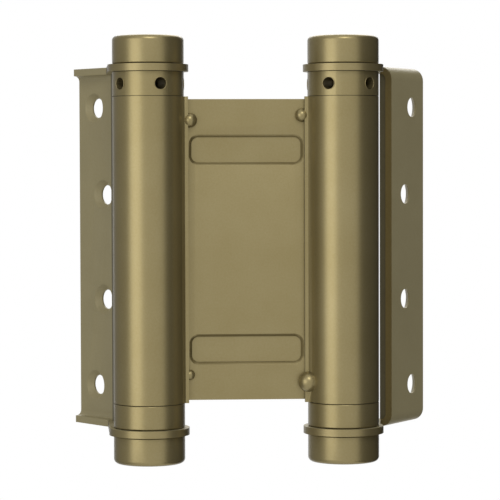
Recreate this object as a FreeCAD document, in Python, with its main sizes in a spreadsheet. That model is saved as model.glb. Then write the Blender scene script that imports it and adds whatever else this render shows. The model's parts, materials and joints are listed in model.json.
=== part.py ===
import FreeCAD, Part
import os
import Sketcher

# Double action cafe hinge: a centre sheet rolled into two barrels, and two folded leaves.
# The origin is under the jamb barrel, on its axis, where its bottom cap stands. +Z is up.
# The door barrel is along +X, and -Y is the side with the rolled seams.

doc = FreeCAD.newDocument("CafeHinge")
sheet = doc.addObject("Spreadsheet::Sheet", "Sizes")

driving = {
    # barrels and the centre sheet
    "barrel_spacing": 40.0,
    "barrel_radius": 7.31,
    "body_gauge": 1.45,
    "tube_length": 62.6,
    "web_notch": 0.5,
    "web_root": 6.5,
    "web_blend": 2.2,
    "web_blend_reach": 8.6,
    "lug_reach": 8.1,
    "lug_root": 6.2,
    "lug_front": 2.2,
    "lug_blend": 3.3,
    "lug_blend_reach": 7.4,
    "seam_gap": 0.15,
    "bar_width": 22.4,
    "bar_height": 5.2,
    "bar_middle": 20.45,
    "bar_press": 0.8,
    "bar_wall": 0.7,
    "bar_corner": 1.4,
    "bar_draft": 0.55,
    # the stack on each barrel
    "tube_gap": 0.1,
    "cap_gap": 0.15,
    "running_gap": 0.05,
    "press_gap": 0.02,
    "collar_height": 4.9,
    "spigot_length": 3.0,
    "cap_height": 5.7,
    "cap_round": 1.0,
    "spindle_radius": 2.5,
    "spindle_seat": 3.5,
    "tommy_radius": 1.22,
    "tommy_count": 5,
    # springs
    "wire_side": 1.6,
    "coil_turns": 13,
    "coil_gap": 0.15,
    # leaves
    "leaf_gauge": 1.45,
    "leaf_offset": 4.3,
    "leaf_start": 13.4,
    "leaf_margin": 5.4,
    "fold_inside": 1.2,
    "rim_depth": 2.85,
    "ring_radius": 8.25,
    "neck_near": 4.95,
    "neck_near_side": 6.5,
    "neck_near_end": 16.5,
    "neck_far": 6.3,
    "neck_far_side": 5.2,
    "lip_start": 0.4,
    "lip_gauge": 0.9,
    "lip_reach": 1.3,
    "screw_radius": 2.05,
    "countersink": 1.1,
    "outer_screw_reach": 22.9,
    "inner_screw_reach": 19.8,
    "outer_screw_height": 29.5,
    "inner_screw_height": 11.1,
    # how each piece is turned about its barrel, in degrees from +X
    "jamb_leaf_angle": 126.0,
    "door_leaf_angle": 56.0,
    "jamb_collar_angle": -70.4,
    "door_collar_angle": -47.9,
    # how far one part of a piece runs into the next, and a cutter past a face
    "overlap": 0.3,
    "clear_cut": 1.0,
}

# weld beads across the seams: the middle of each along X, Y and Z, and its radius
beads = {
    "jamb_top_bead": (8.45, -1.2, 26.5, 1.5),
    "jamb_low_bead": (8.3, -1.0, -25.6, 1.05),
    "door_top_bead": (31.4, -1.2, 27.5, 1.4),
    "door_low_bead": (32.6, -2.2, -27.1, 2.1),
}
bead_sizes = ("across", "depth", "height", "radius")
for bead, numbers in beads.items():
    for what, number in zip(bead_sizes, numbers):
        driving[f"{bead}_{what}"] = number

for row, (alias, number) in enumerate(driving.items(), 1):
    sheet.set(f"A{row}", alias)
    sheet.set(f"B{row}", str(number))
    sheet.setAlias(f"B{row}", alias)
doc.recompute()


class Dim:
    """A length that knows its number and the sheet expression behind it."""

    def __init__(self, number, text):
        self.number = number
        self.text = text

    def other(self, value):
        return value if isinstance(value, Dim) else Dim(value, repr(value))

    def __add__(self, value):
        value = self.other(value)
        return Dim(self.number + value.number, f"({self.text} + {value.text})")

    def __sub__(self, value):
        value = self.other(value)
        return Dim(self.number - value.number, f"({self.text} - {value.text})")

    def __mul__(self, factor):
        factor = self.other(factor)
        return Dim(self.number * factor.number, f"({self.text} * {factor.text})")

    def __neg__(self):
        return Dim(-self.number, f"(-1 * {self.text})")


def size(alias):
    return Dim(float(sheet.get(alias)), f"Sizes.{alias}")


def bind(thing, property_name, dim):
    """Set a property from the sheet."""
    thing.setExpression(property_name, dim.text)


zero = Dim(0.0, "0")
half = 0.5

# Heights above and below the middle of the barrels.
tube_half = size("tube_length") * half
collar_low = tube_half + size("tube_gap")
collar_top = collar_low + size("collar_height")
ring_low = collar_top + size("tube_gap")
ring_top = ring_low + size("leaf_gauge")
cap_low = ring_top + size("cap_gap")
cap_top = cap_low + size("cap_height")
middle = cap_top

bore = size("barrel_radius") - size("body_gauge")
running_bore = size("spindle_radius") + size("running_gap")
spacing = size("barrel_spacing")
overlap = size("overlap")
barrels = {"jamb": zero, "door": spacing}


def newBody(name, across, turn=None):
    """A body whose own Z axis is a barrel's axis and whose XY plane is the barrels' middle."""
    body = doc.addObject("PartDesign::Body", name)
    body.Label = name
    bind(body, "Placement.Base.x", across)
    bind(body, "Placement.Base.z", middle)
    if turn is not None:
        body.Placement = FreeCAD.Placement(
            FreeCAD.Vector(), FreeCAD.Rotation(FreeCAD.Vector(0, 0, 1), turn.number))
        bind(body, "Placement.Rotation.Angle", turn)
    return body


def originPart(body, role):
    return [part for part in body.Origin.OriginFeatures if part.Role == role][0]


def newSketch(body, name, plane, lift=None):
    sketch = body.newObject("Sketcher::SketchObject", name)
    sketch.AttachmentSupport = [(originPart(body, plane), "")]
    sketch.MapMode = "FlatFace"
    if lift is not None:
        bind(sketch, "AttachmentOffset.Base.z", lift)
    return sketch


def pin(sketch, geometry, point, x, y):
    """Hold one point of a sketch at sizes from the sheet."""
    for kind, dim, axis in (("DistanceX", x, -2), ("DistanceY", y, -1)):
        if dim is zero:
            sketch.addConstraint(Sketcher.Constraint("PointOnObject", geometry, point, axis))
        else:
            index = sketch.addConstraint(
                Sketcher.Constraint(kind, -1, 1, geometry, point, dim.number))
            sketch.setExpression(f"Constraints[{index}]", dim.text)


def outline(sketch, corners):
    """A closed outline of straight lines through corners."""
    places = [FreeCAD.Vector(x.number, y.number, 0) for x, y in corners]
    count = len(corners)
    first = sketch.GeometryCount
    for index, place in enumerate(places):
        sketch.addGeometry(Part.LineSegment(place, places[(index + 1) % count]), False)
    for index in range(count):
        sketch.addConstraint(Sketcher.Constraint(
            "Coincident", first + index, 2, first + (index + 1) % count, 1))
    for index, (x, y) in enumerate(corners):
        pin(sketch, first + index, 1, x, y)


def circle(sketch, x, y, radius):
    place = FreeCAD.Vector(x.number, y.number, 0)
    index = sketch.addGeometry(
        Part.Circle(place, FreeCAD.Vector(0, 0, 1), radius.number), False)
    pin(sketch, index, 3, x, y)
    constraint = sketch.addConstraint(Sketcher.Constraint("Radius", index, radius.number))
    sketch.setExpression(f"Constraints[{constraint}]", radius.text)


def turned(name, across, corners, turn=None):
    """A piece turned on a lathe from its half section."""
    body = newBody(name, across, turn)
    sketch = newSketch(body, name + "_section", "XZ_Plane")
    outline(sketch, corners)
    spin = body.newObject("PartDesign::Revolution", name + "_turning")
    spin.Profile = sketch
    spin.ReferenceAxis = (sketch, ["V_Axis"])
    spin.Angle = 360
    doc.recompute()
    return body, spin


def pad(body, name, sketch, length):
    feature = body.newObject("PartDesign::Pad", name)
    feature.Profile = sketch
    bind(feature, "Length", length)
    doc.recompute()
    return feature


def pocket(body, name, sketch, length=None):
    """A cut of a stated depth, or right through both ways."""
    feature = body.newObject("PartDesign::Pocket", name)
    feature.Profile = sketch
    if length is None:
        feature.Type = 1
        feature.Midplane = True
    else:
        bind(feature, "Length", length)
    doc.recompute()
    return feature


def edgesWhere(feature, wanted):
    """Names of a feature's edges that a test picks."""
    return [f"Edge{number}" for number, edge in enumerate(feature.Shape.Edges, 1) if wanted(edge)]


def dress(body, kind, name, base, edges, amount):
    """A fillet or chamfer on named edges."""
    feature = body.newObject("PartDesign::" + kind, name)
    feature.Base = (base, edges)
    bind(feature, "Radius" if kind == "Fillet" else "Size", amount)
    doc.recompute()
    return feature


near = 1e-4


def runsAlong(edge, axis):
    """True for a straight edge along one axis."""
    start, end = edge.Vertexes[0].Point, edge.Vertexes[-1].Point
    moved = [abs(a - b) > near for a, b in zip(start, end)]
    return len(edge.Vertexes) == 2 and moved == [axis == place for place in "xyz"]


def makeLeaf(name, across, turn):
    """One folded sheet: a screw plate, two ears with rings, and a lip at its inner edge."""
    gauge = size("leaf_gauge")
    outside = -size("leaf_offset")
    inside = outside + gauge
    rim = outside + size("rim_depth")
    start = size("leaf_start")
    end = size("outer_screw_reach") + size("leaf_margin")
    body = newBody(name, across, turn)

    # plate and rims as one channel, along the leaf
    sketch = newSketch(body, name + "_channel_section", "YZ_Plane", start)
    outline(sketch, [
        (rim, ring_top), (outside, ring_top), (outside, -ring_top), (rim, -ring_top),
        (rim, -ring_low), (inside, -ring_low), (inside, ring_low), (rim, ring_low)])
    channel = pad(body, name + "_channel", sketch, end - start)

    def foldEdges(feature, y, z):
        return edgesWhere(feature, lambda edge: runsAlong(edge, "x")
                          and abs(edge.Vertexes[0].Point.y - y.number) < near
                          and abs(abs(edge.Vertexes[0].Point.z) - z.number) < near)

    fold = size("fold_inside")
    outer = dress(body, "Fillet", name + "_fold_outside", channel,
                  foldEdges(channel, outside, ring_top), fold + gauge)
    dress(body, "Fillet", name + "_fold_inside", outer,
          foldEdges(outer, inside, ring_low), fold)

    # ears: a ring round the barrel's axis and a neck that meets the fold
    for side, lift in (("top", ring_low), ("bottom", -ring_top)):
        disc = newSketch(body, f"{name}_{side}_ring_outline", "XY_Plane", lift)
        circle(disc, zero, zero, size("ring_radius"))
        pad(body, f"{name}_{side}_ring", disc, gauge)
        neck = newSketch(body, f"{name}_{side}_neck_outline", "XY_Plane", lift)
        outline(neck, [
            (zero, zero), (size("neck_far"), -size("neck_far_side")), (start, rim - overlap),
            (size("neck_near_end"), rim - overlap), (size("neck_near_end"), rim),
            (size("neck_near"), size("neck_near_side"))])
        pad(body, f"{name}_{side}_neck", neck, gauge)

    # lip folded in near the plate's inner edge, between the ears
    lip = newSketch(body, name + "_lip_outline", "XY_Plane", -ring_low)
    lip_x = start + size("lip_start")
    lip_end = lip_x + size("lip_gauge")
    lip_y = -size("lip_reach")
    outline(lip, [(lip_x, inside - overlap), (lip_x, lip_y), (lip_end, lip_y),
                  (lip_end, inside - overlap)])
    pad(body, name + "_lip", lip, ring_low * 2.0)

    # holes for the spindle and the screws
    spindle = newSketch(body, name + "_spindle_hole_outline", "XY_Plane")
    circle(spindle, zero, zero, running_bore)
    pocket(body, name + "_spindle_holes", spindle)
    screws = newSketch(body, name + "_screw_outline", "XZ_Plane")
    for reach_name, height_name in (("outer_screw_reach", "outer_screw_height"),
                                    ("inner_screw_reach", "inner_screw_height")):
        for height in (size(height_name), -size(height_name)):
            circle(screws, size(reach_name), height, size("screw_radius"))
    drilled = pocket(body, name + "_screw_holes", screws)
    mouths = edgesWhere(drilled, lambda edge: edge.Curve.TypeId == "Part::GeomCircle"
                        and abs(edge.Curve.Radius - size("screw_radius").number) < near
                        and abs(edge.Curve.Center.y - inside.number) < near)
    dress(body, "Chamfer", name + "_countersinks", drilled, mouths, size("countersink"))
    return body


def makeCap(name, across, way):
    """A cap pressed on the spindle's end. way is 1 at the top and -1 at the bottom."""
    radius = size("barrel_radius")
    seat = size("spindle_radius") + size("press_gap")
    low, high = cap_low * way, cap_top * way
    depth = (cap_low + size("spindle_seat")) * way
    body, spin = turned(name, across, [
        (seat, low), (radius, low), (radius, high), (zero, high), (zero, depth), (seat, depth)])
    rim = edgesWhere(spin, lambda edge: edge.Curve.TypeId == "Part::GeomCircle"
                     and abs(edge.Curve.Radius - radius.number) < near
                     and abs(edge.Curve.Center.z - high.number) < near)
    dress(body, "Fillet", name + "_rim", spin, rim, size("cap_round"))
    return body


def makeCollar(name, across, way, turn):
    """A collar with a spigot inside the tube. The top one is turned by its five holes."""
    radius = size("barrel_radius")
    fit = size("running_gap") if turn else size("press_gap")
    hole_fit = running_bore if turn else size("spindle_radius") + size("press_gap")
    spigot = bore - fit
    low, high = collar_low * way, collar_top * way
    inner = (tube_half - size("spigot_length")) * way
    body, spin = turned(name, across, [
        (hole_fit, high), (radius, high), (radius, low), (spigot, low), (spigot, inner),
        (hole_fit, inner)], turn)
    if turn:
        tommy = newSketch(body, name + "_tommy_outline", "YZ_Plane")
        circle(tommy, zero, (collar_low + collar_top) * half * way, size("tommy_radius"))
        hole = body.newObject("PartDesign::Pocket", name + "_tommy_hole")
        hole.Profile = tommy
        hole.Reversed = True
        bind(hole, "Length", radius + size("clear_cut"))
        doc.recompute()
        pattern = body.newObject("PartDesign::PolarPattern", name + "_tommy_holes")
        pattern.Originals = [hole]
        pattern.Axis = (originPart(body, "Z_Axis"), [""])
        pattern.Angle = 360
        bind(pattern, "Occurrences", size("tommy_count"))
        body.Tip = pattern
        doc.recompute()
    return body


def makeSpring(name, across):
    """A torsion spring of square wire between the collar's spigot and the plug's."""
    side = size("wire_side")
    reach = tube_half - size("spigot_length") - size("coil_gap") - side * half
    radius = (size("spindle_radius") + bore) * half
    inner, outer = radius - side * half, radius + side * half
    body = newBody(name, across)
    sketch = newSketch(body, name + "_wire", "XZ_Plane")
    low, high = -reach - side * half, -reach + side * half
    outline(sketch, [(inner, low), (outer, low), (outer, high), (inner, high)])
    coil = body.newObject("PartDesign::AdditiveHelix", name + "_coil")
    coil.Profile = sketch
    coil.ReferenceAxis = (sketch, ["V_Axis"])
    coil.Mode = 2
    bind(coil, "Turns", size("coil_turns"))
    bind(coil, "Height", reach * 2.0)
    doc.recompute()
    return body


def makeSpindle(name, across):
    """A straight rod through both rings, the collar, the spring and the plug."""
    radius = size("spindle_radius")
    top = cap_low + size("spindle_seat") - size("press_gap")
    return turned(name, across, [(zero, -top), (radius, -top), (radius, top), (zero, top)])[0]


def makeCentre(name):
    """The centre sheet: a web with two pressed bars, rolled into a barrel at each side."""
    gauge = size("body_gauge")
    face = gauge * half
    body = newBody(name, zero)

    def fromDoor(corners):
        """The same corners for the door barrel, seen in a mirror."""
        return [(spacing - x, y) for x, y in corners]

    # the two rolled barrels
    tubes = newSketch(body, name + "_barrel_section", "XY_Plane", -tube_half)
    for across in barrels.values():
        circle(tubes, across, zero, size("barrel_radius"))
        circle(tubes, across, zero, bore)
    pad(body, name + "_barrels", tubes, size("tube_length"))

    # the web, with its blend into each barrel behind
    web_half = tube_half - size("web_notch")
    web = newSketch(body, name + "_web_section", "XY_Plane", -web_half)
    root, blend = size("web_root"), size("web_blend")
    outline(web, [
        (root, -face), (spacing - root, -face), (spacing - root, blend),
        (spacing - size("web_blend_reach"), face), (size("web_blend_reach"), face),
        (root, blend)])
    pad(body, name + "_web", web, web_half * 2.0)

    # each rolled end lies on the web's front face, with a seam behind it
    front = -size("lug_front")
    seam = -(face + size("seam_gap"))
    lugs = newSketch(body, name + "_rolled_end_section", "XY_Plane", -tube_half)
    lug = [(size("lug_root"), seam), (size("lug_root"), -size("lug_blend")),
           (size("lug_blend_reach"), front), (size("lug_reach"), front),
           (size("lug_reach"), seam)]
    outline(lugs, lug)
    outline(lugs, fromDoor(lug))
    pad(body, name + "_rolled_ends", lugs, size("tube_length"))
    slits = newSketch(body, name + "_seam_section", "XY_Plane")
    deep, past = bore - size("clear_cut"), size("lug_reach") + overlap
    slit = [(deep, seam), (past, seam), (past, -face), (deep, -face)]
    outline(slits, slit)
    outline(slits, fromDoor(slit))
    pocket(body, name + "_seams", slits)

    # two bars pressed back into the web, so that they stand out behind
    press, wall = size("bar_press"), size("bar_wall")
    centre = spacing * half

    def barOutline(sketch, extra):
        wide = size("bar_width") * half + extra
        tall = size("bar_height") * half + extra
        for level in (size("bar_middle"), -size("bar_middle")):
            outline(sketch, [(centre - wide, level - tall), (centre + wide, level - tall),
                             (centre + wide, level + tall), (centre - wide, level + tall)])

    raised = newSketch(body, name + "_bar_back_outline", "XZ_Plane", -(face + press))
    barOutline(raised, wall)
    pad(body, name + "_bar_backs", raised, press + face)
    sunk = newSketch(body, name + "_bar_front_outline", "XZ_Plane", face)
    barOutline(sunk, zero)
    pressed = pocket(body, name + "_bar_fronts", sunk, press)
    corners = edgesWhere(pressed, lambda edge: runsAlong(edge, "y")
                         and abs(edge.Length - press.number) < near)
    rounded = dress(body, "Fillet", name + "_bar_corners", pressed, corners,
                    size("bar_corner"))
    recess_wide = size("bar_width").number * half + near
    mouths = edgesWhere(rounded, lambda edge: edge.BoundBox.YLength < near
                        and abs(edge.BoundBox.YMin + face.number) < near
                        and edge.BoundBox.XMin > centre.number - recess_wide
                        and edge.BoundBox.XMax < centre.number + recess_wide
                        and abs(abs(edge.BoundBox.Center.z) - size("bar_middle").number)
                        < size("bar_height").number)
    dress(body, "Chamfer", name + "_bar_draft", rounded, mouths, size("bar_draft"))

    for bead_name in beads:
        bead = body.newObject("PartDesign::AdditiveSphere", bead_name)
        bind(bead, "Radius", size(bead_name + "_radius"))
        for axis, what in zip("xyz", ("across", "depth", "height")):
            bind(bead, "Placement.Base." + axis, size(f"{bead_name}_{what}"))
        doc.recompute()
    return body


pieces = [makeCentre("centre_sheet")]
for barrel, across in barrels.items():
    leaf_angle = size(barrel + "_leaf_angle")
    collar_angle = size(barrel + "_collar_angle")
    pieces += [
        makeLeaf(barrel + "_leaf", across, leaf_angle),
        makeCap(barrel + "_top_cap", across, 1.0),
        makeCap(barrel + "_bottom_cap", across, -1.0),
        makeCollar(barrel + "_tension_collar", across, 1.0, collar_angle),
        makeCollar(barrel + "_bottom_plug", across, -1.0, None),
        makeSpindle(barrel + "_spindle", across),
        makeSpring(barrel + "_spring", across),
    ]
doc.recompute()

# every object and every shape is sound before anything is written
for item in doc.Objects:
    faults = [state for state in item.State if state in ("Invalid", "Error")]
    if faults:
        raise RuntimeError(f"{item.Label} failed: {faults}")
for piece in pieces:
    shape = piece.Shape
    if shape.isNull() or not shape.isValid() or len(shape.Solids) != 1:
        raise RuntimeError(f"{piece.Label} is not one sound solid: {len(shape.Solids)} solids")

os.makedirs("parts", exist_ok=True)
for piece in pieces:
    piece.Shape.exportStep(f"parts/{piece.Label}.step")
    box = piece.Shape.BoundBox
    print(f"{piece.Label}: {piece.Shape.Volume:.1f} mm3, {len(piece.Shape.Faces)} faces,"
          f" x {box.XMin:.2f}..{box.XMax:.2f} y {box.YMin:.2f}..{box.YMax:.2f}"
          f" z {box.ZMin:.2f}..{box.ZMax:.2f}")
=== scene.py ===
import json
import math

import bmesh
import bpy
from mathutils import Matrix, Vector

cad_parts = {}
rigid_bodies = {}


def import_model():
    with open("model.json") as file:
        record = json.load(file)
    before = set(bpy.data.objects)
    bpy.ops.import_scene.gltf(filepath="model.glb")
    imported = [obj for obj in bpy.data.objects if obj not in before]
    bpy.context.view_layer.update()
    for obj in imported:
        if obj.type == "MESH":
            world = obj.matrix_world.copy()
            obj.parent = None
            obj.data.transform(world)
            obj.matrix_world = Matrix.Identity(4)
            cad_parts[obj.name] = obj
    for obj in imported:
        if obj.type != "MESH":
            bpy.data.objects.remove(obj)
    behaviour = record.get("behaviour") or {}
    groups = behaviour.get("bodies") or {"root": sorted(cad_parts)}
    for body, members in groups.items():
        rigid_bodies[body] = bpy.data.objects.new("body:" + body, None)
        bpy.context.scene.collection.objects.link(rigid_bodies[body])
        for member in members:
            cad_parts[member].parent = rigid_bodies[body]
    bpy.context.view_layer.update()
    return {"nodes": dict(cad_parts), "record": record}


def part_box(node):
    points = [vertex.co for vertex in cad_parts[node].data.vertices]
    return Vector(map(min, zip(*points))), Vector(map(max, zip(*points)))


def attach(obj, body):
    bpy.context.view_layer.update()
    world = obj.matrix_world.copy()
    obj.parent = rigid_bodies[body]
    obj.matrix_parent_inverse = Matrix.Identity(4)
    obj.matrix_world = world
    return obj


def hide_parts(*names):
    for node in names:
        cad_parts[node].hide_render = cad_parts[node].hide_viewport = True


mm = 0.001

for item in list(bpy.data.objects):
    bpy.data.objects.remove(item)

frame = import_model()
nodes = frame["nodes"]
groups = frame["record"]["behaviour"]["bodies"]
bodyOf = {node: body for body, members in groups.items() for node in members}
print("frame loaded:", len(nodes), "pieces")


def centreOf(node):
    low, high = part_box(node)
    return (low + high) / 2 / mm


# where the two barrels stand along X, and the hinge's mid-height, in mm
barrels = {barrel: centreOf(barrel + "_spindle").x for barrel in ("jamb", "door")}
middle = centreOf("centre_sheet").z

# paint, shared by every painted piece

paintGroup = {
    "name": "satinPaint",
    "inputs": [
        ("Colour", "NodeSocketColor", (0.27, 0.222, 0.105, 1)),
        ("Worn Colour", "NodeSocketColor", (0.36, 0.312, 0.18, 1)),
        ("Patch Amount", "NodeSocketFloat", 0.55),
        ("Speckle Amount", "NodeSocketFloat", 0.45),
        ("Grain", "NodeSocketFloat", 0.25),
    ],
    "patches": {"Scale": 0.11, "Detail": 3},
    "speckle": {"Scale": 2.6, "Detail": 4},
    "grain height": 0.03 * mm,
}


def makePaintGroup(spec):
    group = bpy.data.node_groups.new(spec["name"], "ShaderNodeTree")
    for name, kind, value in spec["inputs"]:
        socket = group.interface.new_socket(name, in_out="INPUT", socket_type=kind)
        socket.default_value = value
    group.interface.new_socket("Colour", in_out="OUTPUT", socket_type="NodeSocketColor")
    group.interface.new_socket("Normal", in_out="OUTPUT", socket_type="NodeSocketVector")
    make, link = group.nodes.new, group.links.new
    start, end = make("NodeGroupInput"), make("NodeGroupOutput")
    place, scale = make("ShaderNodeTexCoord"), make("ShaderNodeMapping")
    scale.inputs["Scale"].default_value = [1 / mm] * 3
    link(place.outputs["Object"], scale.inputs["Vector"])

    def noise(pattern):
        node = make("ShaderNodeTexNoise")
        for socket, value in spec[pattern].items():
            node.inputs[socket].default_value = value
        link(scale.outputs["Vector"], node.inputs["Vector"])
        return node.outputs["Fac"]

    def times(first, second):
        node = make("ShaderNodeMath")
        node.operation = "MULTIPLY"
        link(first, node.inputs[0])
        link(second, node.inputs[1])
        return node.outputs[0]

    def mixed(factor, first, second, blend="MIX"):
        node = make("ShaderNodeMix")
        node.data_type, node.blend_type = "RGBA", blend
        link(factor, node.inputs[0])
        link(first, node.inputs[6])
        link(second, node.inputs[7])
        return node.outputs[2]

    patches = noise("patches")
    speckle = noise("speckle")
    worn = mixed(times(patches, start.outputs["Patch Amount"]),
                 start.outputs["Colour"], start.outputs["Worn Colour"])
    tint = mixed(times(speckle, start.outputs["Speckle Amount"]),
                 worn, start.outputs["Worn Colour"], "OVERLAY")
    bump = make("ShaderNodeBump")
    bump.inputs["Distance"].default_value = spec["grain height"]
    link(start.outputs["Grain"], bump.inputs["Strength"])
    link(speckle, bump.inputs["Height"])
    link(tint, end.inputs["Colour"])
    link(bump.outputs["Normal"], end.inputs["Normal"])
    return group


paint = makePaintGroup(paintGroup)

# painted shade: the colour goes towards a dark edge colour where a surface is seen at a low angle,
# standing in for the shade at the round barrels' edges
plainFinish = {"Edge Colour": (0.035, 0.026, 0.006, 1), "Edge Darkening": 0.95,
               "Edge Falloff": 2.6, "Metallic": 0.7, "Roughness": 0.34, "Specular": 0.3}
finishes = {
    "webPaint": {},
    "leafPaint": {"Colour": (0.28, 0.245, 0.138, 1), "Worn Colour": (0.38, 0.335, 0.2, 1),
                  "Edge Darkening": 0.0, "Metallic": 0.12, "Roughness": 0.45},
    # lip: the leaf's paint at about half brightness, a painted shade for the gap beside the barrel
    "lipPaintedShade": {"Colour": (0.15, 0.135, 0.09, 1), "Worn Colour": (0.24, 0.22, 0.15, 1),
                 "Edge Darkening": 0.0, "Metallic": 0.3, "Roughness": 0.4},
    "cutEdge": {"Colour": (0.27, 0.225, 0.112, 1), "Worn Colour": (0.37, 0.31, 0.17, 1),
                "Roughness": 0.36},
    "springSteel": {"Colour": (0.32, 0.32, 0.33, 1), "Worn Colour": (0.4, 0.4, 0.41, 1),
                    "Metallic": 1.0, "Roughness": 0.32},
}


def makeMaterial(name, values):
    material = bpy.data.materials.new(name)
    material.use_nodes = True
    tree = material.node_tree
    tree.nodes.clear()
    make, link = tree.nodes.new, tree.links.new
    look = {**plainFinish, **values}
    coat = make("ShaderNodeGroup")
    coat.node_tree = paint
    for socket in coat.inputs:
        if socket.name in look:
            socket.default_value = look[socket.name]
    # painted edge shade: the facing weight, raised to a power and scaled, mixes the coat towards the
    # dark edge colour
    facing, curve, amount = (make(kind) for kind in
                             ("ShaderNodeLayerWeight", "ShaderNodeMath", "ShaderNodeMath"))
    curve.operation, amount.operation = "POWER", "MULTIPLY"
    curve.inputs[1].default_value = look["Edge Falloff"]
    amount.inputs[1].default_value = look["Edge Darkening"]
    link(facing.outputs["Facing"], curve.inputs[0])
    link(curve.outputs[0], amount.inputs[0])
    shaded = make("ShaderNodeMix")
    shaded.data_type = "RGBA"
    shaded.inputs[7].default_value = look["Edge Colour"]
    link(amount.outputs[0], shaded.inputs[0])
    link(coat.outputs["Colour"], shaded.inputs[6])
    surface, out = make("ShaderNodeBsdfPrincipled"), make("ShaderNodeOutputMaterial")
    surface.inputs["Specular IOR Level"].default_value = look["Specular"]
    surface.inputs["Metallic"].default_value = look["Metallic"]
    surface.inputs["Roughness"].default_value = look["Roughness"]
    link(shaded.outputs[2], surface.inputs["Base Color"])
    link(coat.outputs["Normal"], surface.inputs["Normal"])
    link(surface.outputs["BSDF"], out.inputs["Surface"])
    return material


materials = {name: makeMaterial(name, values) for name, values in finishes.items()}
print("finishes made:", len(materials))

# shown pieces: each CAD mesh, joined up, with softened edges

softening = {"join": 0.002 * mm, "flat": math.radians(0.6), "segments": 2,
             "sheet": 0.13 * mm, "turned": 0.22 * mm, "sharp": math.radians(32)}


def plainMesh(item, name):
    graph = bpy.context.evaluated_depsgraph_get()
    mesh = bpy.data.meshes.new_from_object(
        item.evaluated_get(graph), preserve_all_data_layers=True, depsgraph=graph)
    mesh.name = name
    return mesh


def shownPiece(node, width):
    mesh = nodes[node].data.copy()
    work = bmesh.new()
    work.from_mesh(mesh)
    bmesh.ops.remove_doubles(work, verts=work.verts, dist=softening["join"])
    bmesh.ops.dissolve_limit(work, angle_limit=softening["flat"], verts=work.verts,
                             edges=work.edges)
    work.to_mesh(mesh)
    work.free()
    mesh.materials.clear()
    mesh.shade_smooth()
    mesh.set_sharp_from_angle(angle=softening["sharp"])
    item = bpy.data.objects.new(node + "_shown", mesh)
    bpy.context.scene.collection.objects.link(item)
    bevel = item.modifiers.new("softening", "BEVEL")
    bevel.width, bevel.segments = width, softening["segments"]
    bevel.limit_method, bevel.angle_limit = "ANGLE", softening["sharp"]
    bevel.use_clamp_overlap = True
    bevel.harden_normals = True
    item.data = plainMesh(item, node + "_mesh")
    item.modifiers.clear()
    return item


# a leaf's paints by place, in mm: levels from mid-height, and reaches from the barrel's axis,
# along the leaf and aside from it
leafPaints = ("leafPaint", "cutEdge", "lipPaintedShade")
leafZones = {"turns": {"jamb_leaf": 126, "door_leaf": 56}, "upright": 0.5,
             "ring levels": (36.3, 37.95), "ring reach": 12.5, "plate level": 36,
             "edge along": 13.52, "lip along": 14.95, "lip aside": -2.6}


def leafPaintAt(face, node):
    spot = face.center / mm
    level, across = abs(spot.z - middle), spot.x - barrels[node.split("_")[0]]
    ahead = math.radians(leafZones["turns"][node])
    along = math.cos(ahead) * across + math.sin(ahead) * spot.y
    aside = math.cos(ahead) * spot.y - math.sin(ahead) * across
    lowest, highest = leafZones["ring levels"]
    if (abs(face.normal.z) < leafZones["upright"] and lowest < level < highest
            and math.hypot(across, spot.y) < leafZones["ring reach"]):
        return "cutEdge"
    if level < leafZones["plate level"] and along < leafZones["edge along"]:
        return "cutEdge"
    # the lip beside the barrel takes the darker paint, a painted shade
    if (level < leafZones["plate level"] and along < leafZones["lip along"]
            and aside > leafZones["lip aside"]):
        return "lipPaintedShade"
    return "leafPaint"


def paintPiece(item, node):
    slots = item.data.materials
    if node.endswith(("spindle", "spring")):
        slots.append(materials["springSteel"])
    elif node.endswith("leaf"):
        for name in leafPaints:
            slots.append(materials[name])
        for face in item.data.polygons:
            face.material_index = leafPaints.index(leafPaintAt(face, node))
    else:
        slots.append(materials["webPaint"])


for node in nodes:
    kind = "turned" if node.endswith(("cap", "collar", "plug")) else "sheet"  # springs too
    item = shownPiece(node, softening[kind])
    paintPiece(item, node)
    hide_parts(node)
    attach(item, bodyOf[node])
print("pieces shown:", len(nodes))

# raised rims round the five holes of each tension collar

rimSizes = {"Count": 5, "Reach": 7.24 * mm, "Rim Radius": 1.3 * mm, "Rim Thickness": 0.08 * mm}
rimPlaces = {"below": 2.45 * mm, "turns": {"jamb": -70.4, "door": -47.9}}
rimSteps = {"round": 32, "section": 8}


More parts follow.
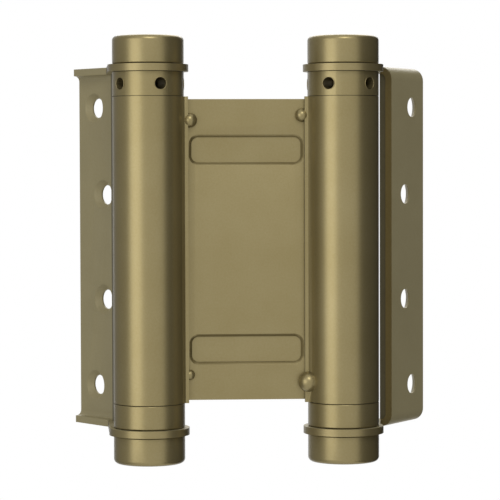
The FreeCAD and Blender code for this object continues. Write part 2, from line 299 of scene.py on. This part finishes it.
def makeRimGroup():
    group = bpy.data.node_groups.new("holeRims", "GeometryNodeTree")
    inputs = [("Count", "NodeSocketInt"), ("Reach", "NodeSocketFloat"),
              ("Rim Radius", "NodeSocketFloat"), ("Rim Thickness", "NodeSocketFloat"),
              ("Material", "NodeSocketMaterial")]
    for name, kind in inputs:
        group.interface.new_socket(name, in_out="INPUT", socket_type=kind)
    group.interface.new_socket("Geometry", in_out="OUTPUT", socket_type="NodeSocketGeometry")
    make, link = group.nodes.new, group.links.new
    start, end = make("NodeGroupInput"), make("NodeGroupOutput")
    points = make("GeometryNodeMeshCircle")
    link(start.outputs["Count"], points.inputs["Vertices"])
    link(start.outputs["Reach"], points.inputs["Radius"])
    circle = "GeometryNodeCurvePrimitiveCircle"
    path, section = make(circle), make(circle)
    path.inputs["Resolution"].default_value = rimSteps["round"]
    section.inputs["Resolution"].default_value = rimSteps["section"]
    link(start.outputs["Rim Radius"], path.inputs["Radius"])
    link(start.outputs["Rim Thickness"], section.inputs["Radius"])
    rim = make("GeometryNodeCurveToMesh")
    link(path.outputs["Curve"], rim.inputs["Curve"])
    link(section.outputs["Curve"], rim.inputs["Profile Curve"])
    position, facing = make("GeometryNodeInputPosition"), make("FunctionNodeAlignRotationToVector")
    facing.axis = "Z"
    link(position.outputs["Position"], facing.inputs["Vector"])
    copies = make("GeometryNodeInstanceOnPoints")
    link(points.outputs["Mesh"], copies.inputs["Points"])
    link(rim.outputs["Mesh"], copies.inputs["Instance"])
    link(facing.outputs["Rotation"], copies.inputs["Rotation"])
    real, coat = make("GeometryNodeRealizeInstances"), make("GeometryNodeSetMaterial")
    link(copies.outputs["Instances"], real.inputs["Geometry"])
    link(real.outputs["Geometry"], coat.inputs["Geometry"])
    link(start.outputs["Material"], coat.inputs["Material"])
    link(coat.outputs["Geometry"], end.inputs["Geometry"])
    return group


rimGroup = makeRimGroup()
rimSockets = {socket.name: socket.identifier for socket in rimGroup.interface.items_tree
              if socket.in_out == "INPUT"}


def makeRims(barrel):
    holder = bpy.data.objects.new("rimHolder", bpy.data.meshes.new("rimHolder"))
    bpy.context.scene.collection.objects.link(holder)
    modifier = holder.modifiers.new("rims", "NODES")
    modifier.node_group = rimGroup
    for name, size in rimSizes.items():
        modifier[rimSockets[name]] = size
    modifier[rimSockets["Material"]] = materials["cutEdge"]
    holder.update_tag()
    bpy.context.view_layer.update()
    mesh = plainMesh(holder, barrel + "_collar_rims")
    bpy.data.objects.remove(holder)
    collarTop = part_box(barrel + "_tension_collar")[1].z
    level = collarTop - rimPlaces["below"]
    turn = Matrix.Rotation(math.radians(rimPlaces["turns"][barrel]), 4, "Z")
    mesh.transform(Matrix.Translation((barrels[barrel] * mm, 0, level)) @ turn)
    mesh.shade_smooth()
    rims = bpy.data.objects.new(barrel + "_collar_rims", mesh)
    bpy.context.scene.collection.objects.link(rims)
    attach(rims, barrel + "_collar_body")
    return rims


for barrel in barrels:
    rims = makeRims(barrel)
print("hole rims made:", len(rims.data.vertices), "vertices each")

# camera, as fitted to the photograph

cameraFit = {"place": (-7.31, -467.12, 61.15), "pitch": 2.149, "yaw": 3.440, "roll": -0.170,
             "lens": 164.28, "sensor": 36.0, "near": 0.05, "far": 10}


def makeCamera(fit):
    pitch, yaw, roll = (math.radians(fit[name]) for name in ("pitch", "yaw", "roll"))
    ahead = Vector((math.sin(yaw) * math.cos(pitch), math.cos(yaw) * math.cos(pitch),
                    -math.sin(pitch)))
    level = Vector((math.cos(yaw), -math.sin(yaw), 0))
    above = level.cross(ahead)
    right = level * math.cos(roll) + above * math.sin(roll)
    up = above * math.cos(roll) - level * math.sin(roll)
    data = bpy.data.cameras.new("photoCamera")
    data.lens, data.sensor_width, data.sensor_fit = fit["lens"], fit["sensor"], "HORIZONTAL"
    data.clip_start, data.clip_end = fit["near"], fit["far"]
    camera = bpy.data.objects.new("photoCamera", data)
    bpy.context.scene.collection.objects.link(camera)
    turned = Matrix((right, up, -ahead)).transposed().to_4x4()
    camera.matrix_world = Matrix.Translation(Vector(fit["place"]) * mm) @ turned
    bpy.context.scene.camera = camera


makeCamera(cameraFit)

# light: a soft key from above in front, a fill from the left and a lamp behind

lamps = {
    "key": {"place": (40, -430, 420), "power": 0.85, "size": 0.20},
    "fill": {"place": (-300, -330, 60), "power": 0.5, "size": 0.30},
    "back": {"place": (60, 300, 300), "power": 0.8, "size": 0.30},
}
lampTarget = Vector((sum(barrels.values()) / len(barrels), 0, middle))


def makeLamp(name, spec):
    data = bpy.data.lights.new(name, "AREA")
    data.energy, data.size = spec["power"], spec["size"]
    lamp = bpy.data.objects.new(name, data)
    bpy.context.scene.collection.objects.link(lamp)
    place = Vector(spec["place"]) * mm
    lamp.location = place
    aim = lampTarget * mm - place
    lamp.rotation_euler = aim.to_track_quat("-Z", "Y").to_euler()


for name, spec in lamps.items():
    makeLamp(name, spec)

# a black card and a grey one at the sides, out of the camera's sight, mirrored by the barrels' edges
cards = {
    "right": {"place": (210, 90, 44), "size": (520, 600), "shade": 0.012},
    "left": {"place": (-190, 120, 44), "size": (420, 600), "shade": 0.5},
}
cardRoughness = 0.9


def makeCard(name, spec):
    deep, tall = (length * mm / 2 for length in spec["size"])
    mesh = bpy.data.meshes.new(name + "_card")
    corners = [(0, -deep, -tall), (0, deep, -tall), (0, deep, tall), (0, -deep, tall)]
    place = Vector(spec["place"]) * mm
    mesh.from_pydata([Vector(corner) + place for corner in corners], [], [(0, 1, 2, 3)])
    card = bpy.data.objects.new(name + "_card", mesh)
    bpy.context.scene.collection.objects.link(card)
    material = bpy.data.materials.new(name + "_card")
    material.use_nodes = True
    cloth = material.node_tree.nodes["Principled BSDF"]
    cloth.inputs["Base Color"].default_value = (*[spec["shade"]] * 3, 1)
    cloth.inputs["Roughness"].default_value = cardRoughness
    mesh.materials.append(material)
    card.visible_camera = False
    card.visible_diffuse = False
    card.visible_shadow = False


for name, spec in cards.items():
    makeCard(name, spec)

# white where the camera or a mirrored ray sees it, and half as bright as a light
skyColours = {"seen": (1, 1, 1, 1), "light": (0.5, 0.5, 0.5, 1)}
world = bpy.data.worlds.new("paperWhite")
bpy.context.scene.world = world
world.use_nodes = True
tree = world.node_tree
tree.nodes.clear()
rays, pick = tree.nodes.new("ShaderNodeLightPath"), tree.nodes.new("ShaderNodeMix")
sky, out = tree.nodes.new("ShaderNodeBackground"), tree.nodes.new("ShaderNodeOutputWorld")
pick.data_type = "RGBA"
pick.inputs[6].default_value = skyColours["light"]
pick.inputs[7].default_value = skyColours["seen"]
shownTo = rays.outputs["Is Camera Ray"]
for ray in ("Is Glossy Ray", "Is Transmission Ray"):
    either = tree.nodes.new("ShaderNodeMath")
    either.operation = "MAXIMUM"
    tree.links.new(shownTo, either.inputs[0])
    tree.links.new(rays.outputs[ray], either.inputs[1])
    shownTo = either.outputs[0]
tree.links.new(shownTo, pick.inputs[0])
tree.links.new(pick.outputs[2], sky.inputs["Color"])
tree.links.new(sky.outputs["Background"], out.inputs["Surface"])
bpy.context.scene.view_settings.view_transform = "Standard"
bpy.context.scene.view_settings.look = "None"
print("camera and light placed")
